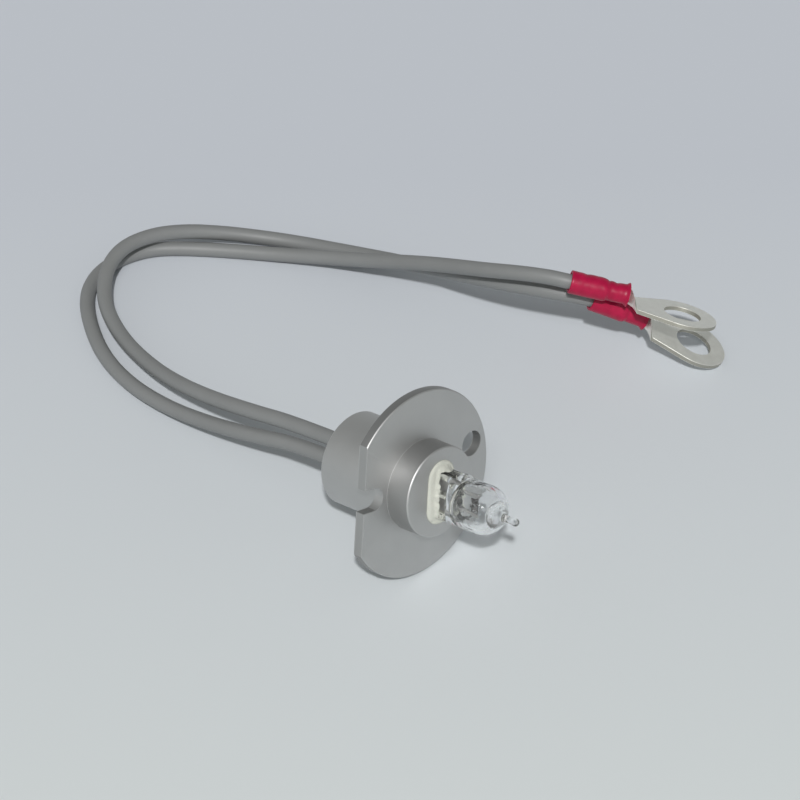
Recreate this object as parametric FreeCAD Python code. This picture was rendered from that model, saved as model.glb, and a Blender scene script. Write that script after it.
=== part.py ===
"""Halogen lamp for an analyzer: a capsule bulb cemented in a flanged aluminium holder, with two leads.

Millimetres. The origin is on the lamp's axis at the flange's front face. +X is the level direction in which
the bulb points, and +Z is up. The lamp lies on a table, on the rim of its flange and on its leads, so its
axis rises towards the bulb. Each piece of the lamp is made upright first, with the axis along X and the
flange's front face at 0, and is then turned to the pose in which it lies.
"""
import FreeCAD, Part

import math
import os

from FreeCAD import Placement, Rotation, Vector

# Pose of the lamp as it lies
lamp_tilt = 9.0

# Holder, turned from one bar
flange_diameter = 32.0
flange_thickness = 1.8
flange_chamfer = 0.2
spigot_diameter = 15.4
spigot_length = 4.5
spigot_chamfer = 0.2
barrel_diameter = 15.8
barrel_length = 13.0
barrel_chamfer = 0.3
barrel_wall = 2.0

# Flange details, angles from up towards +Y
screw_hole_diameter = 4.4
screw_hole_offset = 12.6
screw_hole_angle = 85.6
flat_offset = 12.84
flat_angle = -76.0
slot_width = 4.0
slot_floor_offset = 8.6

# Pocket for the bulb, and the throat that leads its pins to the back
bulb_angle = 14.0
pocket_length = 11.0
pocket_width = 6.0
pocket_depth = 5.5
web_thickness = 1.2
throat_length = 6.4
throat_width = 2.8
cement_rise = 0.45
cement_shoulder = 0.5

# Quartz envelope, heights along the axis from the flange's front face
bulb_diameter = 8.25
bulb_wall = 0.85
dome_centre_height = 13.9
bulb_floor_height = 8.2
bulb_corner_radius = 2.0
cavity_floor_height = 9.2
pinch_base_height = 0.6
pinch_top_height = 9.5
pinch_width = 8.4
pinch_thickness = 3.2
pinch_rim_width = 0.9
pinch_web_thickness = 2.3
tip_root_radius = 1.5
tip_flare_length = 0.9
tip_waist_radius = 0.55
tip_bead_radius = 0.62
tip_top_height = 21.4

# Current path through the pinch
pin_spacing = 3.4
foil_width = 2.1
foil_thickness = 0.15
foil_base_height = 1.6
foil_top_height = 7.0
foil_overlap = 1.4
pin_diameter = 0.9
pin_length = 9.8
post_diameter = 0.5
coil_height = 11.9
coil_wire_diameter = 0.2
coil_mean_radius = 0.62
coil_pitch = 0.42
coil_turns = 6
coil_wire_sides = 6
post_stand_out = 0.3
weld_flattening = 0.1

# Leads and the splices inside the barrel
wire_diameter = 2.6
conductor_diameter = 1.7
plug_length = 3.0
jacket_inside = 4.2
strip_length = 3.4
splice_length = 6.0
splice_wall = 0.4
splice_sleeve_wall = 0.35
splice_sleeve_length = 7.2

# Ring terminals, stamped and rolled from sheet
ring_hole_diameter = 6.5
ring_outer_diameter = 12.0
sheet_thickness = 0.8
crimp_wall = 0.55
crimp_length = 5.6
crimp_start = 10.4
crimp_seam_angle = 26.0
crimp_axis_height = 1.5
neck_end = 6.8
neck_width_at_crimp = 4.8
conductor_stub = 0.7

# Stages of the neck's curl between the flat plate and the rolled crimp, as shares of its length
neck_stages = [0.0, 0.2, 0.4, 0.6, 0.8, 1.0]
neck_first_curl = 0.02

# Sleeves over the terminals' crimps
sleeve_length = 10.3
sleeve_start = 10.0
sleeve_wide_length = 6.2
sleeve_taper_length = 0.6
sleeve_wide_diameter = 4.0
sleeve_bore_diameter = 3.0
sleeve_grip_wall = 0.32
sleeve_lip = 0.28
sleeve_lip_length = 0.5
sleeve_edge = 0.15
sleeve_bore_taper = 0.5
wire_in_sleeve = 4.1

# Roll of each terminal about its own length, in degrees from level
terminal_roll_a = 0.0
terminal_roll_b = -17.0

# Straight stretch of each lead from the plug's face, in line with the lamp's axis
straight_exit_a = 12.8
straight_exit_b = 12.3

# Routes of the leads after that, as x, y and the rise above a lead that lies on the table
route_a = [
    (-38.0, 0.0, 9.6),
    (-49.5, 0.5, 6.6),
    (-61.0, 2.5, 3.6),
    (-71.5, 5.5, 1.8),
    (-79.6, 8.6, 1.4),
    (-86.2, 12.3, 2.1),
    (-91.0, 17.8, 3.4),
    (-92.7, 23.5, 4.2),
    (-91.9, 29.8, 3.9),
    (-89.4, 35.5, 3.0),
    (-85.6, 41.0, 1.6),
    (-80.8, 45.9, 0.4),
    (-75.2, 49.6, 0.0),
    (-67.6, 52.3, 0.6),
    (-58.3, 54.0, 2.4),
    (-49.2, 54.0, 5.2),
    (-42.0, 53.4, 7.8),
    (-35.2, 53.1, 10.0),
    (-28.9, 53.6, 11.6),
    (-23.2, 55.1, 12.5),
    (-18.2, 57.7, 12.4),
    (-15.3, 60.2, 11.6),
    (-12.75, 62.75, 9.9),
]
route_b = [
    (-36.0, -1.5, 6.4),
    (-46.5, -1.5, 3.4),
    (-57.0, -1.0, 1.0),
    (-67.0, 0.0, 0.0),
    (-76.0, 2.5, 0.0),
    (-84.0, 7.0, 0.0),
    (-90.8, 12.4, 0.0),
    (-94.3, 18.2, 0.0),
    (-94.9, 24.6, 0.0),
    (-92.8, 30.6, 0.0),
    (-88.2, 35.1, 0.0),
    (-81.7, 40.0, 0.0),
    (-74.3, 44.7, 0.3),
    (-66.3, 48.1, 1.8),
    (-58.0, 49.7, 4.4),
    (-50.0, 50.4, 7.6),
    (-43.0, 50.4, 10.6),
    (-36.7, 50.2, 13.2),
    (-30.4, 50.4, 15.5),
    (-24.5, 51.6, 17.2),
    (-19.4, 53.6, 17.8),
    (-16.1, 55.4, 17.4),
    (-13.3, 57.9, 16.4),
]

# Part of the shorter run that a bend of a lead takes up on each side of its point
bend_share = 0.45

# Heights along the lamp's axis that follow from the sizes above
flange_back = -flange_thickness
barrel_end = flange_back - barrel_length
pocket_floor = spigot_length - pocket_depth
chamber_front = pocket_floor - web_thickness
plug_front = barrel_end + plug_length
jacket_end = barrel_end + jacket_inside
splice_rear = jacket_end
splice_front = splice_rear + splice_length
chamber_radius = barrel_diameter / 2 - barrel_wall
pin_rear = foil_base_height + foil_overlap - pin_length
pin_side = foil_thickness / 2 + (0.5 - weld_flattening) * pin_diameter
post_side = foil_thickness / 2 + (0.5 - weld_flattening) * post_diameter
bulb_radius = bulb_diameter / 2
crimp_outer_radius = conductor_diameter / 2 + crimp_wall
wire_radius = wire_diameter / 2

# Level of the table, under the lowest point of the tilted flange's rim
rim_rear = -(flange_thickness - flange_chamfer)
tilt = math.radians(lamp_tilt)
table_level = rim_rear * math.sin(tilt) - flange_diameter / 2 * math.cos(tilt)

AXIS = Vector(1, 0, 0)
ORIGIN = Vector(0, 0, 0)
LAID = Placement(ORIGIN, Rotation(Vector(0, 1, 0), -lamp_tilt))
CLOCKED = Placement(ORIGIN, Rotation(AXIS, -bulb_angle))


def laid(shape):
    """Turns a piece of the upright lamp to the pose in which the lamp lies."""
    shape = shape.copy()
    shape.Placement = LAID.multiply(shape.Placement)
    return shape


def clocked(shape):
    """Turns a piece of the bulb about the lamp's axis, so that its width lies at the bulb's angle."""
    shape = shape.copy()
    shape.Placement = CLOCKED.multiply(shape.Placement)
    return shape


def rod(start, end, radius, y=0.0, z=0.0):
    """A round bar along the lamp's axis between two heights."""
    return Part.makeCylinder(radius, end - start, Vector(start, y, z), AXIS)


def slab(start, end, thickness, width, y=0.0, z=0.0):
    """A block between two heights, with its thickness along Y and its width along Z."""
    corner = Vector(start, y - thickness / 2, z - width / 2)
    return Part.makeBox(end - start, thickness, width, corner)


def turned(outline):
    """A turned body: an outline of (height, radius) points spun about the lamp's axis."""
    points = [Vector(height, 0, radius) for height, radius in outline]
    face = Part.Face(Part.makePolygon(points + points[:1]))
    return face.revolve(ORIGIN, AXIS, 360)


def oblong_wire(height, length, width):
    """The outline of an oblong across the axis, with its length along Z."""
    side = width / 2
    end = length / 2 - side
    corners = [
        Vector(height, side, -end),
        Vector(height, side, end),
        Vector(height, -side, end),
        Vector(height, -side, -end),
    ]
    top = Vector(height, 0, length / 2)
    bottom = Vector(height, 0, -length / 2)
    edges = [
        Part.LineSegment(corners[0], corners[1]),
        Part.Arc(corners[1], top, corners[2]),
        Part.LineSegment(corners[2], corners[3]),
        Part.Arc(corners[3], bottom, corners[0]),
    ]
    return Part.Wire([edge.toShape() for edge in edges])


def oblong(start, end, length, width):
    """A straight oblong prism between two heights."""
    face = Part.Face(oblong_wire(start, length, width))
    return face.extrude(Vector(end - start, 0, 0))


def holder_body():
    """The turned holder, with the flange's hole, flat and slot, the bulb's pocket and the wiring chamber."""
    rim = flange_diameter / 2
    nose = spigot_diameter / 2
    shank = barrel_diameter / 2
    body = turned([
        (barrel_end, 0),
        (barrel_end, shank - barrel_chamfer),
        (barrel_end + barrel_chamfer, shank),
        (flange_back, shank),
        (flange_back, rim - flange_chamfer),
        (flange_back + flange_chamfer, rim),
        (-flange_chamfer, rim),
        (0, rim - flange_chamfer),
        (0, nose),
        (spigot_length - spigot_chamfer, nose),
        (spigot_length, nose - spigot_chamfer),
        (spigot_length, 0),
    ])
    hole_side = Rotation(AXIS, -screw_hole_angle).multVec(Vector(0, 0, screw_hole_offset))
    hole = rod(flange_back - 1, 1, screw_hole_diameter / 2, hole_side.y, hole_side.z)
    slot_radius = slot_width / 2
    slot_centre = slot_floor_offset + slot_radius
    flat = slab(flange_back, 0, flange_diameter, rim, z=flat_offset + rim / 2)
    slot = rod(flange_back, 0, slot_radius, z=slot_centre)
    slot = slot.fuse(slab(flange_back, 0, slot_width, rim, z=slot_centre + rim / 2))
    side_cut = flat.fuse(slot)
    side_cut.rotate(ORIGIN, AXIS, -flat_angle)
    pocket = clocked(oblong(pocket_floor, spigot_length, pocket_length, pocket_width))
    throat = clocked(oblong(chamber_front, pocket_floor, throat_length, throat_width))
    chamber = rod(barrel_end, chamber_front, chamber_radius)
    for cut in (hole, side_cut, pocket, throat, chamber):
        body = body.cut(cut)
    return body.removeSplitter()


def pinch_block():
    """The pressed seal: a thin web between two thicker rims, as a pair of jaws leaves it."""
    web = slab(pinch_base_height, pinch_top_height, pinch_web_thickness, pinch_width)
    rim_side = (pinch_width - pinch_rim_width) / 2
    block = web
    for side in (-rim_side, rim_side):
        rim = slab(pinch_base_height, pinch_top_height, pinch_thickness, pinch_rim_width, z=side)
        along = [edge for edge in rim.Edges if abs(edge.tangentAt(edge.FirstParameter).x) > 0.9]
        block = block.fuse(rim.makeFillet(pinch_rim_width / 4, along))
    return block.removeSplitter()


def spun(edges):
    """A body spun about the lamp's axis from a closed outline of edges."""
    return Part.Face(Part.Wire(edges)).revolve(ORIGIN, AXIS, 360)


def floor_edges(height, radius, corner):
    """The floor of a round vessel and its rounded corner, from the axis out to the wall."""
    centre = Vector(height + corner, 0, radius - corner)
    middle = centre + Vector(-1, 0, 1).normalize() * corner
    floor_edge = Vector(height, 0, radius - corner)
    wall_edge = Vector(height + corner, 0, radius)
    return [
        Part.makeLine(Vector(height, 0, 0), floor_edge),
        Part.Arc(floor_edge, middle, wall_edge).toShape(),
    ], wall_edge


def dome_arc(radius, end):
    """The arc of a dome, from the vessel's wall to an end point on it."""
    centre = Vector(dome_centre_height, 0, 0)
    start = centre + Vector(0, 0, radius)
    middle = centre + ((start - centre) + (end - centre)).normalize() * radius
    return Part.Arc(start, middle, end).toShape(), start


def bulb_outside():
    """The blown bulb, one outline from its floor over the dome to the bead of the drawn-off tip."""
    edges, wall = floor_edges(bulb_floor_height, bulb_radius, bulb_corner_radius)
    root_reach = math.sqrt(bulb_radius ** 2 - tip_root_radius ** 2)
    root = Vector(dome_centre_height + root_reach, 0, tip_root_radius)
    dome, start = dome_arc(bulb_radius, root)
    waist = Vector(dome_centre_height + bulb_radius + tip_flare_length, 0, tip_waist_radius)
    bead_centre = Vector(tip_top_height - tip_bead_radius, 0, 0)
    bead_reach = math.sqrt(tip_bead_radius ** 2 - tip_waist_radius ** 2)
    bead_start = bead_centre + Vector(-bead_reach, 0, tip_waist_radius)
    bead_side = bead_centre + Vector(0, 0, tip_bead_radius)
    top = Vector(tip_top_height, 0, 0)
    flare = Part.BSplineCurve()
    flare.interpolate(
        Points=[root, waist],
        InitialTangent=Vector(1, 0, -2),
        FinalTangent=Vector(2, 0, 0))
    edges += [
        Part.makeLine(wall, start),
        dome,
        flare.toShape(),
        Part.makeLine(waist, bead_start),
        Part.Arc(bead_start, bead_side, top).toShape(),
        Part.makeLine(top, Vector(bulb_floor_height, 0, 0)),
    ]
    return spun(edges)


def bulb_cavity():
    """The gas space, one wall inside the bulb."""
    radius = bulb_radius - bulb_wall
    edges, wall = floor_edges(cavity_floor_height, radius, bulb_corner_radius - bulb_wall / 2)
    top = Vector(dome_centre_height + radius, 0, 0)
    dome, start = dome_arc(radius, top)
    edges += [
        Part.makeLine(wall, start),
        dome,
        Part.makeLine(top, Vector(cavity_floor_height, 0, 0)),
    ]
    return spun(edges)


def foil(side):
    """One sealing foil in the middle of the pinch."""
    return slab(foil_base_height, foil_top_height, foil_thickness, foil_width, z=side)


def pin(side):
    """One outer pin, laid on the foil's lower end and flattened where it is welded."""
    top = foil_base_height + foil_overlap
    bar = rod(pin_rear, top, pin_diameter / 2, pin_side, side)
    return bar.cut(foil(side))


def coil_leg(side):
    """The straight end of the coil's wire, from the last turn into the post."""
    inner = math.copysign(coil_pitch * coil_turns / 2, side)
    start = Vector(coil_height + coil_mean_radius, post_side, min(inner, side))
    return Part.makeCylinder(coil_wire_diameter / 2, abs(side - inner), start, Vector(0, 0, 1))


def filament_coil():
    """The coiled filament, level across the bulb between its two posts."""
    length = coil_pitch * coil_turns
    helix = Part.makeHelix(coil_pitch, length, coil_mean_radius)
    corners = []
    for step in range(coil_wire_sides + 1):
        angle = 2 * math.pi * step / coil_wire_sides
        out = coil_mean_radius + coil_wire_diameter / 2 * math.cos(angle)
        corners.append(Vector(out, 0, coil_wire_diameter / 2 * math.sin(angle)))
    section = Part.makePolygon(corners)
    coil = Part.Wire(helix).makePipeShell([section], True, True)
    coil.translate(Vector(coil_height, post_side, -length / 2))
    for side in (-pin_spacing / 2, pin_spacing / 2):
        coil = coil.fuse(coil_leg(side))
    return coil


def filament_post(side):
    """One filament post, from the foil's upper end to the coil, which is clinched in its top."""
    start = foil_top_height - foil_overlap
    end = coil_height + coil_mean_radius + post_stand_out
    bar = rod(start, end, post_diameter / 2, post_side, side)
    return bar.cut(foil(side)).cut(coil_leg(side))


def glass_envelope():
    """The quartz envelope, blown above and pressed flat below round its foils, pins and posts."""
    glass = bulb_outside().fuse(pinch_block()).cut(bulb_cavity())
    for side in (-pin_spacing / 2, pin_spacing / 2):
        glass = glass.cut(foil(side))
        glass = glass.cut(rod(pin_rear, foil_base_height + foil_overlap, pin_diameter / 2, pin_side, side))
        post_base = foil_top_height - foil_overlap
        glass = glass.cut(rod(post_base, coil_height, post_diameter / 2, post_side, side))
    return glass.removeSplitter()


def cement_potting():
    """The cement: it fills the pocket and its throat, and rises a little round the pinch."""
    fill = oblong(pocket_floor, spigot_length, pocket_length, pocket_width)
    fill = fill.fuse(oblong(chamber_front, pocket_floor, throat_length, throat_width))
    crown = Part.makeLoft([
        oblong_wire(spigot_length, pocket_length, pocket_width),
        oblong_wire(
            spigot_length + cement_rise,
            pocket_length - 2 * cement_shoulder,
            pocket_width - 2 * cement_shoulder),
    ], True)
    cement = fill.fuse(crown).cut(pinch_block())
    for side in (-pin_spacing / 2, pin_spacing / 2):
        cement = cement.cut(rod(pin_rear, spigot_length, pin_diameter / 2, pin_side, side))
    return cement.removeSplitter()


def splice(side):
    """One crimped splice: a turned tube, bored small for the pin and large for the lead's strands."""
    outer = conductor_diameter / 2 + splice_wall
    tube = rod(splice_rear, splice_front, outer, z=side)
    tube = tube.cut(rod(splice_rear, splice_rear + strip_length, conductor_diameter / 2, z=side))
    return tube.cut(rod(pin_rear, splice_front, pin_diameter / 2, pin_side, side))


def splice_sleeve(side):
    """One heat-proof sleeve over a splice."""
    inner = conductor_diameter / 2 + splice_wall
    middle = (splice_rear + splice_front) / 2
    start = splice_rear
    end = middle + splice_sleeve_length / 2
    sleeve = rod(start, end, inner + splice_sleeve_wall, z=side)
    return sleeve.cut(rod(start, end, inner, z=side))


def rear_plug():
    """The potting that closes the barrel's back, with the two leads through it."""
    plug = rod(barrel_end, plug_front, chamber_radius)
    for side in (-pin_spacing / 2, pin_spacing / 2):
        plug = plug.cut(rod(barrel_end, plug_front, wire_radius, z=side))
    return plug


def route_points(side, straight, route):
    """A lead's route: its end in the barrel, the straight stretch out, and the listed points."""
    start = Vector(jacket_end, 0, side)
    corner = Vector(barrel_end - straight, 0, side)
    points = [LAID.multVec(CLOCKED.multVec(place)) for place in (start, corner)]
    lying = table_level + wire_radius
    return points + [Vector(x, y, lying + rise) for x, y, rise in route]


def bend(before, point, after):
    """The bend at a point of a route: its start, middle, end and radius."""
    back = before - point
    ahead = after - point
    reach = bend_share * min(back.Length, ahead.Length)
    back.normalize()
    ahead.normalize()
    turn = math.pi - back.getAngle(ahead)
    radius = reach / math.tan(turn / 2)
    inward = (back + ahead).normalize()
    middle = point + inward * (math.hypot(reach, radius) - radius)
    return point + back * reach, middle, point + ahead * reach, radius


def lead_path(points):
    """Straight runs joined by tangent arcs, as one wire, with the list of the arcs' radii."""
    edges = []
    radii = []
    place = points[0]
    for before, point, after in zip(points, points[1:], points[2:]):
        start, middle, end, radius = bend(before, point, after)
        edges.append(Part.LineSegment(place, start).toShape())
        edges.append(Part.Arc(start, middle, end).toShape())
        radii.append(radius)
        place = end
    edges.append(Part.LineSegment(place, points[-1]).toShape())
    return Part.Wire(edges), radii


def lead(name, points):
    """One lead, from its end inside the barrel along the whole route."""
    path, radii = lead_path(points)
    along = (points[1] - points[0]).normalize()
    section = Part.Wire([Part.makeCircle(wire_radius, points[0], along)])
    tube = path.makePipeShell([section], True, False)
    expected = math.pi * wire_radius ** 2 * path.Length
    print(f"{name}: free length {path.Length - jacket_inside:.1f}, tightest bend {min(radii):.1f}, "
          f"volume {tube.Volume:.1f} of {expected:.1f}")
    print(f"{name} radii: " + ", ".join(f"{radius:.1f}" for radius in radii))
    return tube


def terminal_frame(points, roll):
    """The place of a terminal: its length goes on from the last run of the lead's route."""
    end = points[-1]
    ahead = (end - points[-2]).normalize()
    level = Vector(-ahead.y, ahead.x, 0).normalize()
    turn = math.radians(roll)
    across = level * math.cos(turn) + ahead.cross(level) * math.sin(turn)
    normal = ahead.cross(across)
    mouth = sleeve_start + sleeve_length - wire_in_sleeve
    centre = end + ahead * mouth - normal * crimp_axis_height
    return Placement(centre, Rotation(ahead, across, normal, "XYZ"))


def sheet_section(place, bottom, radius, half_angle, wall):
    """A strip of sheet curled up at its sides, as a closed outline across the terminal's length."""
    centre = bottom + radius + wall / 2

    def point(distance, angle):
        return Vector(place, distance * math.sin(angle), centre - distance * math.cos(angle))

    outer = radius + wall / 2
    inner = radius - wall / 2
    edges = [
        Part.Arc(point(outer, -half_angle), point(outer, 0), point(outer, half_angle)).toShape(),
        Part.makeLine(point(outer, half_angle), point(inner, half_angle)),
        Part.Arc(point(inner, half_angle), point(inner, 0), point(inner, -half_angle)).toShape(),
        Part.makeLine(point(inner, -half_angle), point(outer, -half_angle)),
    ]
    return Part.Wire(edges)


def ring_plate():
    """The flat of a terminal: the ring and the tapering neck, cut from one sheet."""
    radius = ring_outer_diameter / 2
    reach = crimp_start
    half = neck_width_at_crimp / 2
    rise = math.hypot(reach, half)
    touch = math.pi - math.atan2(half, reach) - math.acos(radius / rise)
    upper = Vector(radius * math.cos(touch), radius * math.sin(touch), 0)
    lower = Vector(upper.x, -upper.y, 0)
    share = (reach - neck_end) / (reach + upper.x)
    end_half = half + (upper.y - half) * share
    outline = Part.Wire([
        Part.Arc(lower, Vector(radius, 0, 0), upper).toShape(),
        Part.makeLine(upper, Vector(-neck_end, end_half, 0)),
        Part.makeLine(Vector(-neck_end, end_half, 0), Vector(-neck_end, -end_half, 0)),
        Part.makeLine(Vector(-neck_end, -end_half, 0), lower),
    ])
    plate = Part.Face(outline).extrude(Vector(0, 0, sheet_thickness))
    plate.translate(Vector(0, 0, -sheet_thickness / 2))
    hole = Part.makeCylinder(ring_hole_diameter / 2, 2 * sheet_thickness, Vector(0, 0, -sheet_thickness))
    return plate.cut(hole), end_half


def terminal():
    """One ring terminal: the plate, the neck that curls up, and the rolled crimp with its seam."""
    plate, end_half = ring_plate()
    crimp_radius = conductor_diameter / 2 + crimp_wall / 2
    crimp_bottom = crimp_axis_height - crimp_radius - crimp_wall / 2
    closed = math.pi - math.radians(crimp_seam_angle) / 2
    rolled_half = crimp_radius * closed
    wires = []
    for share in neck_stages:
        place = -neck_end - share * (crimp_start - neck_end)
        eased = share * share * (3 - 2 * share)
        bottom = -sheet_thickness / 2 + eased * (crimp_bottom + sheet_thickness / 2)
        wall = sheet_thickness + eased * (crimp_wall - sheet_thickness)
        half_strip = end_half + share * (rolled_half - end_half)
        curl = neck_first_curl + (1 - neck_first_curl) * eased
        radius = crimp_radius / curl
        wires.append(sheet_section(place, bottom, radius, half_strip / radius, wall))
    neck = Part.makeLoft(wires, True)
    crimp = Part.Face(wires[-1]).extrude(Vector(-crimp_length, 0, 0))
    return plate.fuse(neck).fuse(crimp).removeSplitter()


def terminal_sleeve():
    """One insulating sleeve: wide over the lead, narrow over the crimp, with a lip at the ring's side."""
    grip = crimp_outer_radius
    wide = sleeve_wide_diameter / 2
    bore = sleeve_bore_diameter / 2
    rear = -(sleeve_start + sleeve_length)
    wide_end = rear + sleeve_wide_length
    front = -sleeve_start
    narrow = grip + sleeve_grip_wall
    crimp_rear = -(crimp_start + crimp_length)
    sleeve = turned([
        (rear, bore),
        (rear, wide - sleeve_edge),
        (rear + sleeve_edge, wide),
        (wide_end, wide),
        (wide_end + sleeve_taper_length, narrow),
        (front - sleeve_lip_length, narrow),
        (front - sleeve_lip_length / 3, narrow + sleeve_lip),
        (front, narrow + sleeve_lip),
        (front, narrow),
        (front - sleeve_lip_length, grip),
        (crimp_rear, grip),
        (crimp_rear - sleeve_bore_taper, bore),
    ])
    sleeve.translate(Vector(0, 0, crimp_axis_height))
    return sleeve


def conductor(side, frame):
    """The bare strands at both ends of one lead: in the splice, and through the terminal's crimp."""
    inner = laid(clocked(rod(jacket_end, jacket_end + strip_length, conductor_diameter / 2, z=side)))
    jacket = sleeve_start + sleeve_length - wire_in_sleeve
    length = jacket - crimp_start + conductor_stub
    outer = rod(-jacket, -jacket + length, conductor_diameter / 2, z=crimp_axis_height)
    outer.Placement = frame
    return Part.Compound([inner, outer])


def write(node, shape):
    """Writes one node's solids to its file, after a test that they are sound."""
    if not shape.isValid() or shape.Volume <= 0 or not shape.Solids:
        raise ValueError(f"{node} is not a sound solid")
    solids = shape.Solids
    shape = solids[0] if len(solids) == 1 else Part.Compound(solids)
    shape.exportStep(os.path.join("parts", node + ".step"))
    print(f"{node}: {len(solids)} solid, {shape.Volume:.2f} cubic mm")


def build():
    """Makes every piece and writes it."""
    os.makedirs("parts", exist_ok=True)
    write("holder_body", laid(holder_body()))
    write("cement_potting", laid(clocked(cement_potting())))
    write("glass_envelope", laid(clocked(glass_envelope())))
    write("filament_coil", laid(clocked(filament_coil())))
    write("rear_plug", laid(clocked(rear_plug())))
    leads = (
        ("a", pin_spacing / 2, straight_exit_a, route_a, terminal_roll_a),
        ("b", -pin_spacing / 2, straight_exit_b, route_b, terminal_roll_b),
    )
    for mark, side, straight, route, roll in leads:
        write("foil_" + mark, laid(clocked(foil(side))))
        write("filament_post_" + mark, laid(clocked(filament_post(side))))
        write("pin_" + mark, laid(clocked(pin(side))))
        write("splice_" + mark, laid(clocked(splice(side))))
        write("splice_sleeve_" + mark, laid(clocked(splice_sleeve(side))))
        points = route_points(side, straight, route)
        write("wire_" + mark, lead("wire_" + mark, points))
        frame = terminal_frame(points, roll)
        write("conductor_" + mark, conductor(side, frame))
        for node, shape in (("terminal_", terminal()), ("terminal_sleeve_", terminal_sleeve())):
            shape.Placement = frame.multiply(shape.Placement)
            write(node + mark, shape)


build()
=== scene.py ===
"""Looks of a halogen lamp for an analyzer, built round its CAD model.

Every length is in metres, in the frame of the CAD model: +X is level and points the way the bulb points,
and +Z is up. A turned or pressed piece is made upright first, with the lamp's axis along X and the flange's
front face at 0, and is then turned to the pose in which the lamp lies.
"""

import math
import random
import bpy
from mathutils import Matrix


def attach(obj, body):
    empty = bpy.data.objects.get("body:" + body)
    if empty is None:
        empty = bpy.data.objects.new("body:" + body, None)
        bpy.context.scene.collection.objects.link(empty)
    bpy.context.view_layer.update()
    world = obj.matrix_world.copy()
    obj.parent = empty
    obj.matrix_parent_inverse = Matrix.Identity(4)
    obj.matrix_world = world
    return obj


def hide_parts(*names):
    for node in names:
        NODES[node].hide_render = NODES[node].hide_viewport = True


bl_info = {
    "name": "Analyzer halogen lamp",
    "version": (1, 0, 0),
    "blender": (4, 5, 0),
    "location": "3D View > Sidebar > Lamp",
    "description": "Builds a capsule lamp in a flanged holder, with two leads and their ring terminals",
    "category": "Object",
}

import bmesh
import bpy
from bpy.props import FloatProperty, FloatVectorProperty, IntProperty, PointerProperty
from mathutils import Matrix, Vector, noise

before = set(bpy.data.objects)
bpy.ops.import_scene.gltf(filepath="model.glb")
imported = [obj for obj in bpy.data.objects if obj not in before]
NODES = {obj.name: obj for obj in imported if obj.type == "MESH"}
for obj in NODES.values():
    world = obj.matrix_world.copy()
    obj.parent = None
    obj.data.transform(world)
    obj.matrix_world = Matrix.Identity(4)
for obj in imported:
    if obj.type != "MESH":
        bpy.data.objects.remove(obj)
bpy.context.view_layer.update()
BODY = "root"
AXIS = (1, 0, 0)


def length(name, default, description):
    """A length that the panel shows, in metres."""
    return FloatProperty(name=name, description=description, default=default, precision=5, unit="LENGTH")


def angle(name, default, description):
    """An angle that the panel shows, given in degrees."""
    return FloatProperty(
        name=name, description=description, default=math.radians(default), subtype="ANGLE", unit="ROTATION")


def colour(name, default, description):
    """A colour that the panel shows."""
    return FloatVectorProperty(
        name=name, description=description, default=default, size=3, min=0, max=1, subtype="COLOR")


class LampPose(bpy.types.PropertyGroup):
    """How the lamp lies, and where it is seen from."""
    tilt: angle("Tilt", 9.0, "Rise of the lamp's axis towards the bulb")
    bulb_turn: angle("Bulb turn", 14.0, "Turn of the bulb about the axis, from upright")
    azimuth: angle("View azimuth", 42.75, "Direction of the camera round the lamp")
    elevation: angle("View elevation", 37.5, "Height of the camera above the horizon")
    distance: length("View distance", 0.75, "From the camera to the flange, along the view")
    view_right: length("View right", -0.003206, "Shift of the camera to its right")
    view_up: length("View up", 0.0135, "Shift of the camera upwards")
    lens: FloatProperty(name="Lens", description="Focal length in millimetres", default=209.5)


class HolderSizes(bpy.types.PropertyGroup):
    """The turned holder."""
    flange_diameter: length("Flange diameter", 0.032, "Diameter of the flange")
    flange_thickness: length("Flange thickness", 0.0018, "Thickness of the flange")
    flange_chamfer: length("Flange chamfer", 0.0002, "Chamfer on both edges of the rim")
    spigot_diameter: length("Spigot diameter", 0.0154, "Diameter of the spigot in front")
    spigot_length: length("Spigot length", 0.0045, "How far the spigot stands out")
    spigot_chamfer: length("Spigot chamfer", 0.0002, "Chamfer on the spigot's edge")
    barrel_diameter: length("Barrel diameter", 0.0158, "Diameter of the barrel behind the flange")
    barrel_length: length("Barrel length", 0.013, "Length of the barrel")
    barrel_chamfer: length("Barrel chamfer", 0.0003, "Chamfer on the barrel's edge")
    barrel_wall: length("Barrel wall", 0.002, "Wall round the wiring chamber")
    screw_hole_diameter: length("Screw hole", 0.0044, "Diameter of the hole in the flange")
    screw_hole_offset: length("Screw hole offset", 0.0126, "From the axis to the hole")
    screw_hole_angle: angle("Screw hole angle", 85.6, "Turn of the hole about the axis, from upright")
    flat_offset: length("Flat offset", 0.01284, "From the axis to the flat on the rim")
    flat_angle: angle("Flat angle", -76.0, "Turn of the flat about the axis, from upright")
    slot_width: length("Slot width", 0.004, "Width of the slot in the flat")
    slot_floor: length("Slot floor", 0.0086, "From the axis to the slot's floor")
    pocket_length: length("Pocket length", 0.011, "Length of the bulb's pocket")
    pocket_width: length("Pocket width", 0.006, "Width of the bulb's pocket")
    pocket_depth: length("Pocket depth", 0.0055, "Depth of the bulb's pocket")
    chamber_front: length("Chamber end", -0.0022, "Height at which the wiring chamber ends")
    edge_break: length("Edge break", 0.00005, "Rounding left on the machined edges")
    steps: IntProperty(name="Steps", description="Steps of a full turn", default=160, min=24)


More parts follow.
